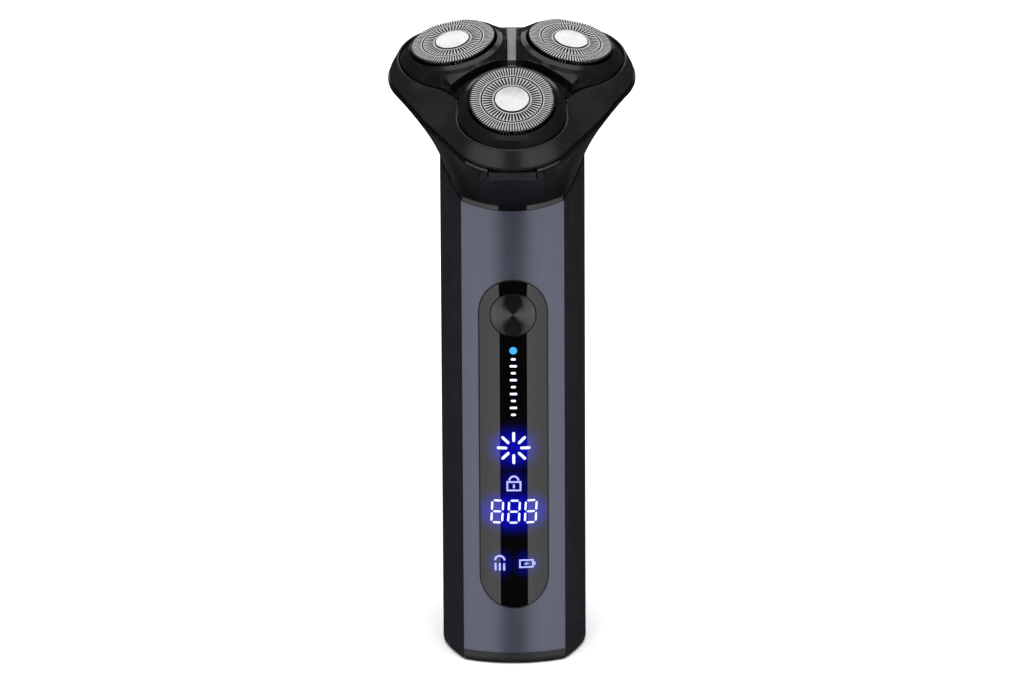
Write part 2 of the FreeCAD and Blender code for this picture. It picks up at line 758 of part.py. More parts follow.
cap_shape = cap_form()
blade_shape = blade_form()
for lobe, angle in LOBE_ANGLES.items():
    place = cutter_place(angle)
    finish(feature(f"pod_{lobe}_form", pod_form(angle)), f"pod_{lobe}", HEAD)
    finish(feature(f"cap_{lobe}_form", cap_shape.copy()), f"shaving_cap_{lobe}", place)
    button = primitive("Cylinder", f"disc_{lobe}_round", Radius="sizes.disc_radius", Height="1")
    ball = primitive("Sphere", f"disc_{lobe}_crown", (0, 0, DISC_CROWN - DISC_BALL),
                     Rotation(Vector(1, 0, 0), 90), Radius=str(DISC_BALL))
    finish(common(f"disc_{lobe}_common", button, ball), f"cap_disc_{lobe}", place)
    finish(feature(f"blade_{lobe}_form", blade_shape.copy()), f"blade_{lobe}", place)
    hub = turned(f"hub_{lobe}_body", (0, -2.6), (0, -3.4), (2.3, -3.4), (2.3, -6.0),
                 (size("hub_radius"), -6.0), (size("hub_radius"), -2.6), (0, -2.6))
    finish(hub, f"blade_hub_{lobe}", place)

# ---------------------------------------------------------------- drive

GEAR_DISTANCE = 0.5 * size("gear_module") * (size("pinion_teeth") + size("gear_teeth"))


def gear_form(teeth, bore):
    """A spur gear with straight-sided teeth, one of them on the X axis."""
    module = size("gear_module")
    pitch = 0.5 * module * teeth
    corners = []
    for index in range(teeth):
        for radius, share in ((pitch - 1.25 * module, -0.30), (pitch + 0.85 * module, -0.12),
                              (pitch + 0.85 * module, 0.12), (pitch - 1.25 * module, 0.30)):
            angle = 2 * math.pi * (index + share) / teeth
            corners.append(Vector(radius * math.cos(angle), radius * math.sin(angle), 0))
    face = Part.Face(Part.makePolygon(corners + [corners[0]]))
    wheel = face.extrude(Vector(0, 0, size("gear_thickness")))
    return wheel.cut(Part.makeCylinder(bore, 10, Vector(0, 0, -1)))


SHAFT_RADIUS = 1.0
SPINDLE_TOP = 5.0
DECK_TOP = 11.1
DECK_THICKNESS = 1.0
CARRIER_TOP = 15.3
SPINDLE_LENGTH = CARRIER_TOP + 0.6 - SPINDLE_TOP

gear_level = size("gear_level")
pinion = gear_form(int(size("pinion_teeth")), SHAFT_RADIUS)
finish(feature("drive_pinion_form", pinion), "drive_pinion", around_head(0, 0, -gear_level))
shaft = round_plate("motor_shaft_body", "0", str(size("motor_level") + 1.6 - 12.7), str(SHAFT_RADIUS))
finish(shaft, "motor_shaft", around_head(0, 0, -size("motor_level") - 1.6))

wheel = gear_form(int(size("gear_teeth")), size("spindle_radius"))
seals = []
for lobe, angle in LOBE_ANGLES.items():
    finish(feature(f"drive_gear_{lobe}_form", wheel.copy()), f"drive_gear_{lobe}",
           around_head(angle, GEAR_DISTANCE, -gear_level))
    spindle = round_plate(f"spindle_{lobe}_body", "0", str(SPINDLE_LENGTH), "sizes.spindle_radius")
    finish(spindle, f"drive_spindle_{lobe}", around_head(angle, GEAR_DISTANCE, -CARRIER_TOP - 0.6))
    seal = Part.makeCylinder(2.2, DECK_THICKNESS).cut(
        Part.makeCylinder(size("spindle_radius") + 0.1, DECK_THICKNESS + 2, Vector(0, 0, -1)))
    seal.Placement = HEAD.inverse().multiply(
        around_head(angle, GEAR_DISTANCE, -DECK_TOP - DECK_THICKNESS))
    seals.append(seal)
finish(feature("spindle_seals_form", Part.makeCompound(seals)), "spindle_seals", HEAD)


def deck_form(inset, top, hole, centre_hole):
    """A plate across the neck with a hole for each spindle."""
    plate = smooth_prism(rim_reach, -top - DECK_THICKNESS, -top, inset)
    for angle in LOBE_ANGLES.values():
        drill = Part.makeCylinder(hole, 10, Vector(0, 0, -5))
        drill.Placement = HEAD.inverse().multiply(around_head(angle, GEAR_DISTANCE, -top))
        plate = plate.cut(drill.copy())
    if centre_hole:
        plate = plate.cut(Part.makeCylinder(centre_hole, 10, Vector(0, 0, -top - 5)))
    return plate


deck = deck_form(2.6, DECK_TOP, 2.2, 0.0)
tab_room = Part.makeBox(2 * TAB_HALF_WIDTH + 1, 12.5, 4, Vector(-TAB_HALF_WIDTH - 0.5, -TAB_FRONT - 8, -14))
finish(feature("gear_plate_form", deck.cut(tab_room)), "gear_plate", HEAD)
finish(feature("gear_carrier_form", deck_form(10.5, CARRIER_TOP, size("spindle_radius") + 0.05,
                                              SHAFT_RADIUS + 0.3)), "gear_carrier", HEAD)

case = round_plate("motor_case_body", "0", "sizes.motor_length", "sizes.motor_radius")
shaft_bore = primitive("Cylinder", "shaft_bore", (0, 0, size("motor_length") - 2.0),
                       Radius=str(SHAFT_RADIUS + 0.05), Height="5")
finish(cut("motor_case_cut", case, shaft_bore), "motor_case",
       around_head(0, 0, -size("motor_level") - size("motor_length")))
end_cap = round_plate("motor_end_body", "0", "1.6", "sizes.motor_radius - 1.2")
finish(end_cap, "motor_end_cap", around_head(0, 0, -size("motor_level") - size("motor_length") - 1.6))

# ---------------------------------------------------------------- release tab

tab = Part.makeBox(2 * TAB_HALF_WIDTH, TAB_DEEP, TAB_TALL, Vector(-TAB_HALF_WIDTH, -TAB_FRONT, -TAB_LEVEL))
tab_edges = [edge for edge in tab.Edges if abs(edge.CenterOfMass.y + TAB_FRONT) < 0.01]
finish(feature("release_tab_form", tab.makeFillet(0.5, tab_edges)), "release_tab", HEAD)

# ---------------------------------------------------------------- check and export

doc.recompute()
for thing in doc.Objects:
    if "Invalid" in thing.State or "Error" in thing.State:
        raise RuntimeError(f"{thing.Name} failed: {thing.State}")
for thing in nodes:
    if thing.Shape.isNull() or not thing.Shape.isValid():
        raise RuntimeError(f"{thing.Label} has no valid shape")
    thing.Shape.exportStep(os.path.join("parts", thing.Label + ".step"))
print(len(nodes), "sub-parts written")
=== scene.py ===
import json
import math
import bmesh
import bpy
from mathutils import Matrix, Vector


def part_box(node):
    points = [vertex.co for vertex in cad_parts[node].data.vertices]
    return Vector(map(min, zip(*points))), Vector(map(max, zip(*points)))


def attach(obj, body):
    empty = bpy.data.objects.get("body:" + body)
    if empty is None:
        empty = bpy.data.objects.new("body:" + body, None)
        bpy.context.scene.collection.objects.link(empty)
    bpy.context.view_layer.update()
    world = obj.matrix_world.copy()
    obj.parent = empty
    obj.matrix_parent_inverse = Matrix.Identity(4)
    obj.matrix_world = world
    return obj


# An electric shaver standing on its base. Metres, +Z up, the front faces -Y.

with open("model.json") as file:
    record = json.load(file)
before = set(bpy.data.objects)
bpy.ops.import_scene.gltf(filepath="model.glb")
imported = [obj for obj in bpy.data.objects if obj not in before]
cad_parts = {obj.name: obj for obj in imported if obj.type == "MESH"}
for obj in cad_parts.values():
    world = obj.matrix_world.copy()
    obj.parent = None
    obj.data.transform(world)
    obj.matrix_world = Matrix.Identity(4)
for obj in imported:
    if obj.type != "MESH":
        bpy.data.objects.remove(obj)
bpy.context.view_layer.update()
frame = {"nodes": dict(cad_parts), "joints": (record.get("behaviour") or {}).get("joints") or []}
nodes = frame["nodes"]
MM = 0.001
LOBES = ("front", "left", "right")


# ---------------------------------------------------------------- material helpers

class Shader:
    """A material with a Principled shader and short calls for the nodes that drive it."""

    def __init__(self, name, color, roughness, **sockets):
        self.material = bpy.data.materials.new(name)
        self.material.use_nodes = True
        self.tree = self.material.node_tree
        self.bsdf = self.tree.nodes["Principled BSDF"]
        self.bsdf.inputs["Base Color"].default_value = (*color, 1.0)
        self.bsdf.inputs["Roughness"].default_value = roughness
        for socket, value in sockets.items():
            self.bsdf.inputs[socket.replace("_", " ")].default_value = value

    def node(self, kind, **settings):
        """A new node with its properties set."""
        node = self.tree.nodes.new("ShaderNode" + kind)
        for key, value in settings.items():
            setattr(node, key, value)
        return node

    def link(self, source, target):
        self.tree.links.new(source, target)

    def position(self):
        """Coordinates in the object's own frame, in metres."""
        return self.node("TexCoord").outputs["Object"]

    def noise(self, scale, detail=3.0, vector=None):
        """A noise value at so many features per unit of its coordinates, which are metres by default."""
        node = self.node("TexNoise")
        node.inputs["Scale"].default_value = scale
        node.inputs["Detail"].default_value = detail
        self.link(vector or self.position(), node.inputs["Vector"])
        return node.outputs["Fac"]

    def math(self, operation, first, second=0.0):
        """A Math node on sockets or numbers."""
        node = self.node("Math", operation=operation)
        for slot, value in enumerate((first, second)):
            if isinstance(value, (int, float)):
                node.inputs[slot].default_value = value
            else:
                self.link(value, node.inputs[slot])
        return node.outputs[0]

    def between(self, value, low, high, to_low=0.0, to_high=1.0):
        """A value mapped smoothly from one range to another."""
        node = self.node("MapRange", interpolation_type="SMOOTHSTEP")
        self.link(value, node.inputs["Value"])
        for socket, number in zip(("From Min", "From Max", "To Min", "To Max"),
                                  (low, high, to_low, to_high)):
            node.inputs[socket].default_value = number
        return node.outputs["Result"]

    def mix(self, factor, first, second):
        """Two colours mixed by a factor."""
        node = self.node("Mix", data_type="RGBA")
        self.link(factor, node.inputs["Factor"])
        for name, value in (("A", first), ("B", second)):
            socket = [s for s in node.inputs if s.name == name and s.type == "RGBA"][0]
            if isinstance(value, tuple):
                socket.default_value = (*value, 1.0)
            else:
                self.link(value, socket)
        return [s for s in node.outputs if s.type == "RGBA"][0]

    def split(self):
        """X, Y and Z of the position."""
        node = self.node("SeparateXYZ")
        self.link(self.position(), node.inputs[0])
        return node.outputs

    def bump(self, height, distance):
        """A bump at full strength from a height value, its depth in metres."""
        node = self.node("Bump")
        node.inputs["Strength"].default_value = 1.0
        node.inputs["Distance"].default_value = distance
        self.link(height, node.inputs["Height"])
        self.link(node.outputs["Normal"], self.bsdf.inputs["Normal"])

    def rough(self, value):
        self.link(value, self.bsdf.inputs["Roughness"])

    def color(self, value):
        self.link(value, self.bsdf.inputs["Base Color"])

    def glow(self, color, strength):
        self.link(color, self.bsdf.inputs["Emission Color"])
        self.bsdf.inputs["Emission Strength"].default_value = strength


def paint(names, material):
    """Give CAD nodes one material in every slot."""
    for name in names:
        slots = nodes[name].material_slots
        if not slots:
            nodes[name].data.materials.append(material)
        for slot in slots:
            slot.material = material


# ---------------------------------------------------------------- materials

PLASTIC_GRAIN = 0.008 * MM
LATHE_RINGS = 22000.0
SPUN_RINGS = 9000.0
# Painted shade inside a cap's slots: its colour, and how far below the slotted face it starts and is full.
SLOT_PAINTED_SHADE = (0.02, 0.02, 0.02)
SLOT_SHADE_START = 0.06 * MM
SLOT_SHADE_END = 0.3 * MM


def cutter_axis(lobe):
    """Where a cutter's axis is and which way it points, outwards, from its joint."""
    joint = [j for j in frame["joints"] if j["name"] == f"blade_{lobe}_spin"][0]
    axis = Vector(joint["axis"]).normalized()
    return Vector(joint["pos_m"]), axis if axis.z > 0 else -axis


def cutter_top(lobe):
    """How far up its axis a cutter's slotted face is."""
    centre, axis = cutter_axis(lobe)
    vertices = nodes[f"shaving_cap_{lobe}"].data.vertices
    return max((vertex.co - centre).dot(axis) for vertex in vertices)


def satin_metallic():
    """Blue-grey metallic lacquer, with fine flake and a soft orange peel."""
    s = Shader("panel_metallic", (0.115, 0.12, 0.165), 0.36,
               Metallic=0.75, Coat_Weight=0.25, Coat_Roughness=0.22)
    flake = s.noise(9000.0, 2.0)
    s.color(s.mix(s.between(flake, 0.35, 0.65), (0.098, 0.102, 0.142), (0.13, 0.136, 0.185)))
    s.rough(s.between(s.noise(2600.0), 0.3, 0.7, 0.33, 0.41))
    s.bump(s.noise(5200.0, 2.0), 0.004 * MM)
    return s.material


def satin_plastic(name, color, roughness):
    """Moulded satin plastic or rubber with a fine spark-eroded grain."""
    s = Shader(name, color, roughness, Specular_IOR_Level=0.5)
    cloud = s.noise(240.0)
    darker = tuple(0.82 * c for c in color)
    s.color(s.mix(s.between(cloud, 0.35, 0.65), darker, color))
    s.rough(s.between(s.noise(3800.0), 0.3, 0.7, roughness - 0.04, roughness + 0.05))
    s.bump(s.noise(6500.0, 4.0), PLASTIC_GRAIN)
    return s.material


def gloss_plastic(name, color, roughness, coat):
    """Polished plastic: nearly a mirror, with a faint waviness and handling haze."""
    s = Shader(name, color, roughness, Coat_Weight=coat, Coat_Roughness=0.03)
    darker = tuple(0.8 * c for c in color)
    s.color(s.mix(s.between(s.noise(160.0), 0.4, 0.6), darker, color))
    s.rough(s.between(s.noise(420.0, 5.0), 0.35, 0.7, 0.8 * roughness, 1.5 * roughness))
    s.bump(s.noise(150.0, 1.0), 0.006 * MM)
    return s.material


def steel(name, color, roughness):
    """Bright steel with a slightly cloudy polish."""
    s = Shader(name, color, roughness, Metallic=1.0)
    s.rough(s.between(s.noise(900.0), 0.3, 0.7, 0.8 * roughness, 1.3 * roughness))
    tint = tuple(0.86 * c for c in color)
    s.color(s.mix(s.between(s.noise(350.0), 0.35, 0.65), tint, color))
    s.bump(s.noise(5000.0), 0.003 * MM)
    return s.material


def lathe_steel(name, color, roughness, lobe, slotted=False):
    """Steel with fine lathe rings round a cutter's axis; a slotted face gets painted shade inside its
    slots, darker below its top face.
    """
    centre, axis = cutter_axis(lobe)
    s = Shader(name, color, roughness, Metallic=1.0)
    s.rough(s.between(s.noise(1500.0), 0.3, 0.7, 0.85 * roughness, 1.15 * roughness))
    offset = s.node("VectorMath", operation="SUBTRACT")
    s.link(s.position(), offset.inputs[0])
    offset.inputs[1].default_value = centre
    across = s.node("VectorMath", operation="CROSS_PRODUCT")
    s.link(offset.outputs[0], across.inputs[0])
    across.inputs[1].default_value = axis
    radius = s.node("VectorMath", operation="LENGTH")
    s.link(across.outputs[0], radius.inputs[0])
    rings = s.math("SINE", s.math("MULTIPLY", radius.outputs["Value"], LATHE_RINGS))
    s.bump(rings, 0.003 * MM)
    tint = tuple(0.94 * c for c in color)
    tone = s.mix(s.between(s.noise(420.0), 0.35, 0.65), tint, color)
    # Painted shade: the colour darkens with depth below the slotted face, standing in for the shade inside
    # the slots.
    if slotted:
        along = s.node("VectorMath", operation="DOT_PRODUCT")
        s.link(offset.outputs[0], along.inputs[0])
        along.inputs[1].default_value = axis
        top = cutter_top(lobe)
        shade = s.between(along.outputs["Value"], top - SLOT_SHADE_END, top - SLOT_SHADE_START)
        tone = s.mix(shade, SLOT_PAINTED_SHADE, tone)
    s.color(tone)
    return s.material


def ring_vector(s, radius):
    """Noise coordinates that change only with the radius."""
    joined = s.node("CombineXYZ")
    s.link(s.math("MULTIPLY", radius, SPUN_RINGS), joined.inputs[0])
    return joined.outputs[0]


def spun_metal():
    """The power button: dark metal turned in fine circles, which stretches the light into cones."""
    low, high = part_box("power_button")
    middle = 0.5 * (low + high)
    s = Shader("button_metal", (0.09, 0.09, 0.098), 0.36,
               Metallic=1.0, Anisotropic=0.92, Anisotropic_Rotation=0.25)
    tangent = s.node("Tangent", direction_type="RADIAL", axis="Y")
    s.link(tangent.outputs[0], s.bsdf.inputs["Tangent"])
    x, _, z = s.split()
    across = s.math("POWER", s.math("SUBTRACT", x, middle.x), 2.0)
    along = s.math("POWER", s.math("SUBTRACT", z, middle.z), 2.0)
    radius = s.math("SQRT", s.math("ADD", across, along))
    rings = s.noise(1.0, 2.0, ring_vector(s, radius))
    s.color(s.mix(s.between(rings, 0.3, 0.7), (0.085, 0.085, 0.09), (0.165, 0.165, 0.172)))
    s.bump(rings, 0.004 * MM)
    return s.material


STAR_HEIGHT = 58.5 * MM
LOCK_HEIGHT = 49.0 * MM
DIGIT_HEIGHT = 41.4 * MM
ICON_HEIGHT = 27.3 * MM
LAMP_HEIGHT = 84.5 * MM
SCALE_TOP = 82.2 * MM
SCALE_PITCH = 1.85 * MM
SCALE_BARS = 9
RINSE_SIDE = -3.7 * MM
CELL_SIDE = 3.1 * MM
DIGIT_PITCH = 4.28 * MM
GLOW_EDGE = 1.8
GLOWS = (
    # x, z, half width, half height, strength
    (0.0, STAR_HEIGHT, 5.5 * MM, 4.7 * MM, 0.95),
    (0.0, LOCK_HEIGHT, 3.3 * MM, 3.4 * MM, 0.32),
    (0.0, DIGIT_HEIGHT, 8.4 * MM, 4.6 * MM, 1.15),
    (RINSE_SIDE, ICON_HEIGHT, 3.2 * MM, 3.2 * MM, 0.3),
    (CELL_SIDE, ICON_HEIGHT, 3.4 * MM, 3.0 * MM, 0.3),
)


def display_window():
    """Gloss black window, with light from the symbols bleeding blue through it."""
    s = Shader("lens_gloss", (0.0003, 0.0003, 0.0005), 0.035, Coat_Weight=0.3, Coat_Roughness=0.02)
    s.rough(s.between(s.noise(300.0, 4.0), 0.35, 0.7, 0.025, 0.05))
    x, _, z = s.split()
    total = None
    for side, height, half_width, half_height, strength in GLOWS:
        across = s.math("POWER", s.math("DIVIDE", s.math("SUBTRACT", x, side), half_width), 2.0)
        along = s.math("POWER", s.math("DIVIDE", s.math("SUBTRACT", z, height), half_height), 2.0)
        reach = s.math("POWER", s.math("ADD", across, along), GLOW_EDGE)
        fall = s.math("EXPONENT", s.math("MULTIPLY", reach, -1.0))
        glow = s.math("MULTIPLY", fall, strength)
        total = glow if total is None else s.math("MAXIMUM", total, glow)
    mottled = s.math("MULTIPLY", total, s.between(s.noise(500.0), 0.2, 0.8, 0.92, 1.0))
    s.glow(s.mix(mottled, (0.0, 0.0, 0.0), (0.002, 0.002, 0.42)), 1.0)
    return s.material


def lit_plastic(name, color, first, second, strength):
    """Clear plastic lit from behind, which drifts between two close tints."""
    s = Shader(name, color, 0.4)
    s.glow(s.mix(s.between(s.noise(1500.0), 0.35, 0.65), first, second), strength)
    return s.material


def lit_symbol():
    """A main symbol: near white."""
    return lit_plastic("lit_symbol", (0.3, 0.32, 0.5), (0.66, 0.72, 1.0), (0.86, 0.9, 1.0), 1.0)


def dim_symbol():
    """A smaller symbol, lit a little lavender."""
    return lit_plastic("dim_symbol", (0.2, 0.22, 0.4), (0.27, 0.30, 0.9), (0.37, 0.39, 1.0), 0.9)


def lamp_blue():
    """The lamp over the level scale, sky blue."""
    return lit_plastic("lamp_blue", (0.02, 0.15, 0.4), (0.02, 0.28, 0.72), (0.03, 0.36, 0.84), 0.9)


def circuit_board():
    """Green solder mask with lighter tracks."""
    s = Shader("circuit_board", (0.01, 0.09, 0.04), 0.35)
    tracks = s.node("TexVoronoi", feature="DISTANCE_TO_EDGE")
    tracks.inputs["Scale"].default_value = 700.0
    s.link(s.position(), tracks.inputs["Vector"])
    s.color(s.mix(s.between(tracks.outputs["Distance"], 0.02, 0.06), (0.05, 0.25, 0.1), (0.01, 0.09, 0.04)))
    return s.material


paint(["front_panel"], satin_metallic())
paint(["rear_cover"], satin_plastic("body_black", (0.0135, 0.0142, 0.0205), 0.42))
paint(["bottom_cap"], satin_plastic("base_black", (0.0145, 0.0155, 0.019), 0.42))
paint(["trim_ring"], gloss_plastic("ring_black", (0.0035, 0.004, 0.0045), 0.045, 0.2))
paint(["neck_shell"], gloss_plastic("neck_gloss", (0.004, 0.004, 0.0048), 0.07, 0.3))
paint(["release_tab"], satin_plastic("tab_satin", (0.019, 0.019, 0.021), 0.34))
paint(["head_shell", "retaining_plate"], satin_plastic("head_satin", (0.0105, 0.0105, 0.012), 0.33))
paint(["spider_strip"], satin_plastic("strip_grey", (0.155, 0.155, 0.158), 0.36))
paint([f"pod_{lobe}" for lobe in LOBES], gloss_plastic("pod_gloss", (0.0058, 0.0058, 0.0066), 0.18, 0.15))
paint(["lens_gasket", "neck_gasket", "spindle_seals"],
      satin_plastic("seal_rubber", (0.006, 0.006, 0.007), 0.6))
paint(["gear_plate", "gear_carrier", "tactile_switch", "chassis", "motor_end_cap", "socket_tongue"],
      satin_plastic("deck_plastic", (0.035, 0.035, 0.038), 0.5))
paint(["light_guide"], satin_plastic("diffuser", (0.5, 0.52, 0.6), 0.5))
paint(["display_board", "main_board"], circuit_board())
paint(["battery_cell"], steel("cell_can", (0.2, 0.3, 0.5), 0.35))
paint(["battery_tabs", "charging_socket", "hinge_pin", "motor_shaft"],
      steel("steel_small", (0.55, 0.55, 0.56), 0.28))
paint(["motor_case"], steel("motor_steel", (0.5, 0.5, 0.51), 0.32))
gear_nodes = ["drive_pinion"]
for lobe in LOBES:
    gear_nodes += [f"drive_gear_{lobe}", f"drive_spindle_{lobe}", f"blade_hub_{lobe}"]
paint(gear_nodes, satin_plastic("gear_plastic", (0.68, 0.68, 0.64), 0.4))
paint(["display_lens"], display_window())
paint(["power_button"], spun_metal())
for lobe in LOBES:
    paint([f"shaving_cap_{lobe}"],
          lathe_steel(f"cap_steel_{lobe}", (0.56, 0.553, 0.548), 0.24, lobe, slotted=True))
    # The blades get a darker steel colour than bright steel: painted shade for where they sit under the
    # caps.
    paint([f"blade_{lobe}"], lathe_steel(f"blade_shaded_steel_{lobe}", (0.16, 0.16, 0.17), 0.4, lobe))
    paint([f"cap_disc_{lobe}"], lathe_steel(f"disc_steel_{lobe}", (0.8, 0.8, 0.81), 0.24, lobe))

# ---------------------------------------------------------------- lit symbols on the window

PANEL_CORNER_X = 13.0 * MM
PANEL_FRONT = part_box("front_panel")[0].y
PANEL_SAG = 3.3 * MM
PANEL_RADIUS = (PANEL_CORNER_X ** 2 + PANEL_SAG ** 2) / (2 * PANEL_SAG)
SYMBOL_LIFT = 0.05 * MM
CAPSULE_STEPS = 6


def window_y(x):
    """Where the window's curved surface is, front to back, at a distance from the middle."""
    return PANEL_FRONT + PANEL_RADIUS - math.sqrt(PANEL_RADIUS ** 2 - x ** 2)


def symbol(name, loops, material):
    """A thin flat sign from closed loops of (x, z), laid on the curved window; inner loops are holes."""
    curve = bpy.data.curves.new(name + "_outline", "CURVE")
    curve.dimensions = "2D"
    curve.fill_mode = "BOTH"
    for loop in loops:
        spline = curve.splines.new("POLY")
        spline.points.add(len(loop) - 1)
        for point, (x, z) in zip(spline.points, loop):
            point.co = (x, z, 0, 1)
        spline.use_cyclic_u = True
    drawing = bpy.data.objects.new(name + "_drawing", curve)
    bpy.context.collection.objects.link(drawing)
    bpy.context.view_layer.update()
    mesh = bpy.data.meshes.new_from_object(drawing)
    bpy.data.objects.remove(drawing)
    shape = bmesh.new()
    shape.from_mesh(mesh)
    bmesh.ops.remove_doubles(shape, verts=shape.verts, dist=1e-7)
    bmesh.ops.subdivide_edges(shape, edges=shape.edges, cuts=1)
    for vertex in shape.verts:
        x, z, _ = vertex.co
        vertex.co = Vector((x, window_y(x) - SYMBOL_LIFT, z))
    shape.to_mesh(mesh)
    shape.free()
    piece = bpy.data.objects.new(name, mesh)
    bpy.context.collection.objects.link(piece)
    mesh.materials.clear()
    mesh.materials.append(material)
    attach(piece, "handle")


def turned_points(points, angle, centre):
    """Points turned about the origin and moved to a centre."""
    cosine, sine = math.cos(angle), math.sin(angle)
    return [(centre[0] + x * cosine - z * sine, centre[1] + x * sine + z * cosine) for x, z in points]


def capsule(length, width):
    """A bar along X from 0 to a length, with round ends."""
    half = 0.5 * width
    points = []
    for step in range(CAPSULE_STEPS + 1):
        angle = -0.5 * math.pi + math.pi * step / CAPSULE_STEPS
        points.append((length - half + half * math.cos(angle), half * math.sin(angle)))
    for step in range(CAPSULE_STEPS + 1):
        angle = 0.5 * math.pi + math.pi * step / CAPSULE_STEPS
        points.append((half + half * math.cos(angle), half * math.sin(angle)))
    return points


def arc_points(centre, radius, start, end, steps=12):
    """Points on an arc, angles in degrees."""
    points = []
    for step in range(steps + 1):
        angle = math.radians(start + (end - start) * step / steps)
        points.append((centre[0] + radius * math.cos(angle), centre[1] + radius * math.sin(angle)))
    return points


def rectangle(centre, width, height):
    """The corners of an upright rectangle."""
    x, z = centre
    return [(x - width / 2, z - height / 2), (x + width / 2, z - height / 2),
            (x + width / 2, z + height / 2), (x - width / 2, z + height / 2)]


bright = lit_symbol()
dim = dim_symbol()


def star():
    """Eight rays round an empty middle."""
    inner_radius = 1.65 * MM
    ray = capsule(2.65 * MM, 0.72 * MM)
    rays = []
    for index in range(8):
        angle = math.pi * index / 4
        start = (inner_radius * math.cos(angle), STAR_HEIGHT + inner_radius * math.sin(angle))
        rays.append(turned_points(ray, angle, start))
    symbol("symbol_star", rays, bright)


def padlock():
    """A travel lock: a body with a keyhole, and a shackle."""
    middle = (0.0, LOCK_HEIGHT - 0.75 * MM)
    body = rectangle(middle, 3.8 * MM, 2.7 * MM)
    inside = rectangle(middle, 2.9 * MM, 1.8 * MM)
    keyhole = turned_points(capsule(1.1 * MM, 0.5 * MM), math.pi / 2, (0.0, LOCK_HEIGHT - 1.3 * MM))
    top = (0.0, LOCK_HEIGHT + 0.75 * MM)
    shackle = arc_points(top, 1.4 * MM, 0, 180) + arc_points(top, 0.9 * MM, 180, 0)
    symbol("symbol_lock", [body, inside, keyhole], dim)
    symbol("symbol_lock_shackle", [shackle], dim)


def digit(name, middle):
    """An eight from seven leaning segments."""
    wide = 2.75 * MM
    tall = 2.95 * MM
    bar = 0.52 * MM
    lean = 0.05
    across = [(0.55 * bar, 0), (1.1 * bar, -bar / 2), (wide - 1.1 * bar, -bar / 2), (wide - 0.55 * bar, 0),
              (wide - 1.1 * bar, bar / 2), (1.1 * bar, bar / 2)]
    up = [(0, 0.5 * bar), (bar / 2, 1.05 * bar), (bar / 2, tall - 1.05 * bar), (0, tall - 0.5 * bar),
          (-bar / 2, tall - 1.05 * bar), (-bar / 2, 1.05 * bar)]
    loops = []
    for level in (-tall, 0.0, tall):
        loops.append([(x - wide / 2, z + level) for x, z in across])
    for side in (-0.5, 0.5):
        for level in (-tall, 0.0):
            loops.append([(x + side * wide, z + level) for x, z in up])
    leaning = [[(middle + x + lean * z, DIGIT_HEIGHT + z) for x, z in loop] for loop in loops]
    symbol(name, leaning, bright)


def battery_sign():
    """A battery outline with a bolt in it."""
    centre = (CELL_SIDE, ICON_HEIGHT)
    outline = rectangle(centre, 3.7 * MM, 2.3 * MM)
    inner = rectangle(centre, 2.9 * MM, 1.5 * MM)
    tip = rectangle((CELL_SIDE + 2.1 * MM, ICON_HEIGHT), 0.35 * MM, 1.0 * MM)
    bolt = [(0.35, 0.62), (-0.75, -0.12), (-0.05, -0.12), (-0.35, -0.62), (0.75, 0.12), (0.05, 0.12)]
    bolt = [(CELL_SIDE + x * MM, ICON_HEIGHT + z * MM) for x, z in bolt]
    symbol("symbol_battery", [outline, inner], dim)
    symbol("symbol_battery_tip", [tip], dim)
    symbol("symbol_battery_bolt", [bolt], dim)


def rinse_sign():
    """A rinse sign: an arch over three jets of water."""
    centre = (RINSE_SIDE, ICON_HEIGHT + 0.9 * MM)
    arch = arc_points(centre, 1.45 * MM, 0, 180) + arc_points(centre, 0.95 * MM, 180, 0)
    symbol("symbol_rinse", [arch], dim)
    jet = capsule(2.1 * MM, 0.5 * MM)
    jets = []
    for side in (-1.1, 0.0, 1.1):
        start = (RINSE_SIDE + side * MM, ICON_HEIGHT - 1.9 * MM)
        jets.append(turned_points(jet, math.pi / 2, start))
    symbol("symbol_rinse_water", jets, dim)


def level_scale():
    """A plain round lamp over a column of short bars, alternately short and long."""
    lamp = arc_points((0.0, LAMP_HEIGHT), 0.97 * MM, 0, 345, 23)
    symbol("symbol_lamp", [lamp], lamp_blue())
    bars = []
    for index in range(SCALE_BARS):
        length = (1.9 if index % 2 else 1.3) * MM
        start = (-0.5 * length, SCALE_TOP - SCALE_PITCH * index)
        bars.append(turned_points(capsule(length, 0.62 * MM), 0.0, start))
    symbol("symbol_scale", bars, bright)


star()
padlock()
level_scale()
for place, side in (("left", -DIGIT_PITCH), ("middle", 0.0), ("right", DIGIT_PITCH)):
    digit(f"symbol_digit_{place}", side)
battery_sign()
rinse_sign()

# ---------------------------------------------------------------- floor, light and camera

MIDDLE = Vector((0.0, 0.0, 0.08))
FLOOR_RADIUS = 2.8
COVE_RADIUS = 1.0
COVE_STEPS = 12
WALL_TOP = 4.0
FLOOR_SIDES = 96
SURROUND_STRENGTH = 0.035
LOW_CARD_BEARING = 49.5
LOW_CARD_FADE = 0.5
BACKDROP_AIM = Vector((0.0, 2.2, 0.8))
CAMERA_RISE = 17.7
CAMERA_DISTANCE = 2.0
CAMERA_ROLL = -0.29
CAMERA_SENSOR = 36.0
CAMERA_LENS = 275.0
LOOK_AT = Vector((-0.0003, 0.0, 0.0811))


def around(azimuth, elevation, distance):
    """A point at a bearing from the object: 0 is in front, and to the right is positive."""
    turn = math.radians(azimuth)
    rise = math.radians(elevation)
    direction = Vector((math.sin(turn) * math.cos(rise), -math.cos(turn) * math.cos(rise), math.sin(rise)))
    return MIDDLE + distance * direction


def face(thing, target, front):
    """Turn a thing's front axis towards a point."""
    thing.rotation_euler = (target - thing.location).to_track_quat(front, "Y").to_euler()


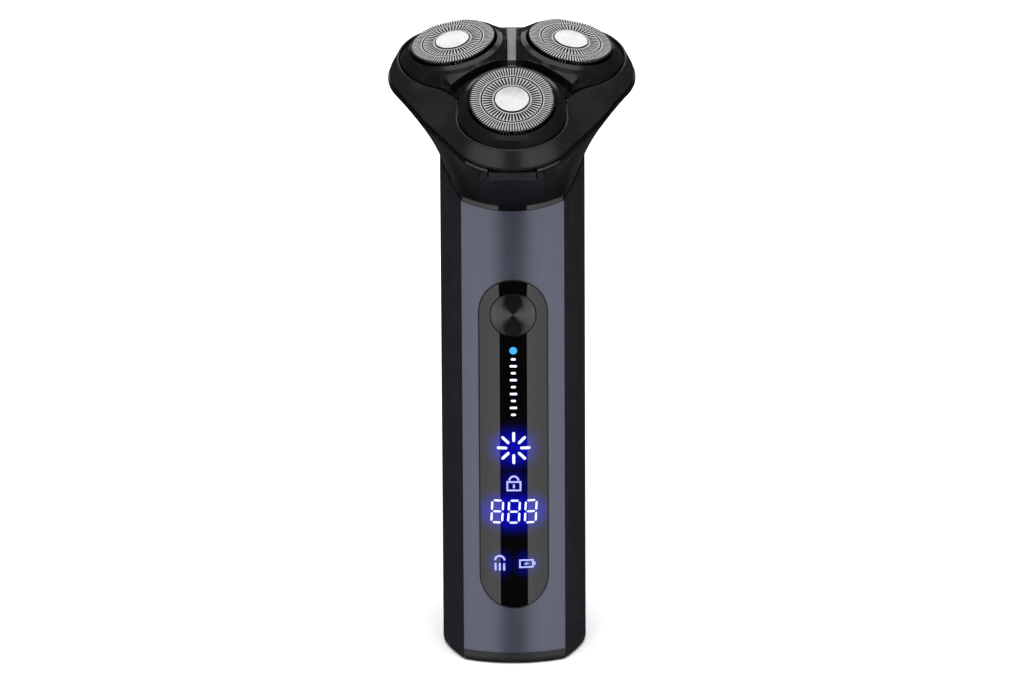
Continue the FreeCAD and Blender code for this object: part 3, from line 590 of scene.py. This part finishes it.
def card(name, place, width, height, strength, fade=0.0):
    """A glowing card that faces the object, unseen by the camera; a fade dims it towards one side."""
    bpy.ops.mesh.primitive_grid_add(x_subdivisions=2, y_subdivisions=2, size=1.0)
    panel = bpy.context.object
    panel.name = name
    panel.scale = (width, height, 1.0)
    panel.location = place
    face(panel, MIDDLE, "Z")
    panel.visible_camera = False
    panel.visible_shadow = False
    material = bpy.data.materials.new(name + "_glow")
    material.use_nodes = True
    tree = material.node_tree
    tree.nodes.clear()
    glow = tree.nodes.new("ShaderNodeEmission")
    glow.inputs["Strength"].default_value = strength
    output = tree.nodes.new("ShaderNodeOutputMaterial")
    tree.links.new(glow.outputs[0], output.inputs["Surface"])
    if fade:
        position = tree.nodes.new("ShaderNodeTexCoord")
        split = tree.nodes.new("ShaderNodeSeparateXYZ")
        ramp = tree.nodes.new("ShaderNodeMapRange")
        ramp.inputs["To Min"].default_value = min(1.0, 1.0 - fade)
        ramp.inputs["To Max"].default_value = min(1.0, 1.0 + fade)
        tree.links.new(position.outputs["Generated"], split.inputs[0])
        tree.links.new(split.outputs["X"], ramp.inputs["Value"])
        tree.links.new(ramp.outputs[0], glow.inputs["Color"])
    panel.data.materials.append(material)


def pale_floor():
    """A pale round floor that curves up into a wall all the way round, beyond any camera."""
    profile = [(0.0, 0.0), (FLOOR_RADIUS, 0.0)]
    for step in range(1, COVE_STEPS + 1):
        angle = 0.5 * math.pi * step / COVE_STEPS
        radius = FLOOR_RADIUS + COVE_RADIUS * math.sin(angle)
        profile.append((radius, COVE_RADIUS * (1.0 - math.cos(angle))))
    profile.append((FLOOR_RADIUS + COVE_RADIUS, WALL_TOP))
    bowl = bmesh.new()
    chain = [bowl.verts.new((radius, 0.0, z)) for radius, z in profile]
    edges = [bowl.edges.new(pair) for pair in zip(chain, chain[1:])]
    bmesh.ops.spin(bowl, geom=chain + edges, angle=2.0 * math.pi, steps=FLOOR_SIDES,
                   axis=(0, 0, 1), cent=(0, 0, 0))
    bmesh.ops.remove_doubles(bowl, verts=bowl.verts, dist=1e-5)
    bmesh.ops.recalc_face_normals(bowl, faces=bowl.faces)
    mesh = bpy.data.meshes.new("floor_sheet")
    bowl.to_mesh(mesh)
    bowl.free()
    floor = bpy.data.objects.new("floor_sheet", mesh)
    bpy.context.collection.objects.link(floor)
    paper = Shader("pale_paper", (0.93, 0.93, 0.94), 0.85)
    paper.color(paper.mix(paper.noise(30.0), (0.925, 0.925, 0.935), (0.94, 0.94, 0.945)))
    mesh.materials.append(paper.material)
    for polygon in mesh.polygons:
        polygon.use_smooth = True
    floor.visible_glossy = False


def world_light():
    """A soft even surround; it is dim, so that black surfaces stay black."""
    world = bpy.data.worlds.new("surround")
    bpy.context.scene.world = world
    world.use_nodes = True
    background = world.node_tree.nodes["Background"]
    background.inputs["Color"].default_value = (1.0, 1.0, 1.0, 1.0)
    background.inputs["Strength"].default_value = SURROUND_STRENGTH


def area_light(name, place, target, width, power):
    """A soft square light that faces a point and is not seen in reflections."""
    data = bpy.data.lights.new(name, "AREA")
    data.shape = "SQUARE"
    data.size = width
    data.energy = power
    lamp = bpy.data.objects.new(name, data)
    lamp.location = place
    face(lamp, target, "-Z")
    lamp.visible_glossy = False
    bpy.context.collection.objects.link(lamp)


pale_floor()
world_light()
for side, name in ((-1, "left"), (1, "right")):
    place = around(azimuth=side * LOW_CARD_BEARING, elevation=-14.0, distance=1.3)
    card(f"card_low_{name}", place, width=1.68, height=1.1, strength=1.45, fade=side * LOW_CARD_FADE)
card("card_top", around(azimuth=0.0, elevation=84.0, distance=1.4), width=1.3, height=1.3, strength=1.2)
card("card_back", around(azimuth=180.0, elevation=44.0, distance=1.5), width=1.5, height=0.9, strength=1.25)
card("card_front", around(azimuth=0.0, elevation=42.0, distance=1.5), width=1.1, height=0.6, strength=0.4)
area_light("floor_wash", around(azimuth=0.0, elevation=70.0, distance=2.6), MIDDLE, width=2.4, power=95.0)
area_light("backdrop_wash", around(azimuth=180.0, elevation=60.0, distance=1.6), BACKDROP_AIM,
           width=2.0, power=40.0)

camera_data = bpy.data.cameras.new("camera")
camera_data.sensor_width = CAMERA_SENSOR
camera_data.lens = CAMERA_LENS
camera = bpy.data.objects.new("camera", camera_data)
bpy.context.collection.objects.link(camera)
rise = math.radians(CAMERA_RISE)
camera.location = LOOK_AT + CAMERA_DISTANCE * Vector((0.0, -math.cos(rise), math.sin(rise)))
pitch = Matrix.Rotation(math.radians(90.0) - rise, 3, "X")
camera.rotation_euler = (pitch @ Matrix.Rotation(math.radians(CAMERA_ROLL), 3, "Z")).to_euler()
bpy.context.scene.camera = camera
bpy.context.scene.view_settings.view_transform = "Standard"
